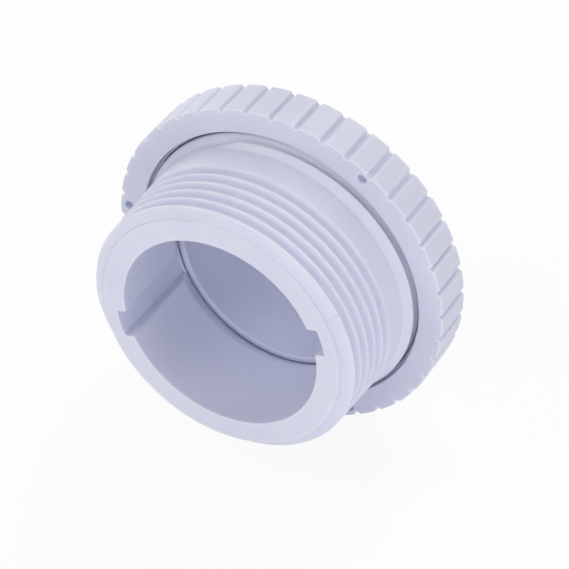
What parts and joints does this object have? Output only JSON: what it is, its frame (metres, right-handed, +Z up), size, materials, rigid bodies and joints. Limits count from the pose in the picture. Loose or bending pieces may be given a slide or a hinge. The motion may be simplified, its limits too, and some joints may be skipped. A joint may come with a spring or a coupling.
{
  "type": "directional inlet fitting",
  "caption": "White plastic wall inlet: tapered male pipe thread with a keyed bore, and a knurled locking ring that clamps a hollow swivelling ball nozzle.",
  "frame": {"origin": "centre of the threaded mouth's end face, on the fitting's axis", "axes": "+Y along the axis out of the threaded mouth and into the wall, -Y out of the nozzle, +Z up"},
  "size_m": [0.0612, 0.0421, 0.0612],
  "materials": {
    "body_plastic": "satin moulded white plastic",
    "ring_plastic": "satin moulded white plastic",
    "eyeball_plastic": "satin moulded white plastic"
  },
  "bodies": {
    "fitting_body": {"threaded_body": "body_plastic"},
    "ring": {"locking_ring": "ring_plastic"},
    "ball": {"eyeball": "eyeball_plastic"}
  },
  "joints": [
    {"name": "ring_turn", "type": "hinge", "parent": "fitting_body", "child": "ring", "pos_m": [0, -0.0196, 0], "axis": [0, -1, 0], "range_deg": [0, 180]},
    {"name": "ball_tilt", "type": "hinge", "parent": "ring", "child": "ball", "pos_m": [0, -0.02625, 0], "axis": [-1, 0, 0], "range_deg": [-20, 20]}
  ]
}
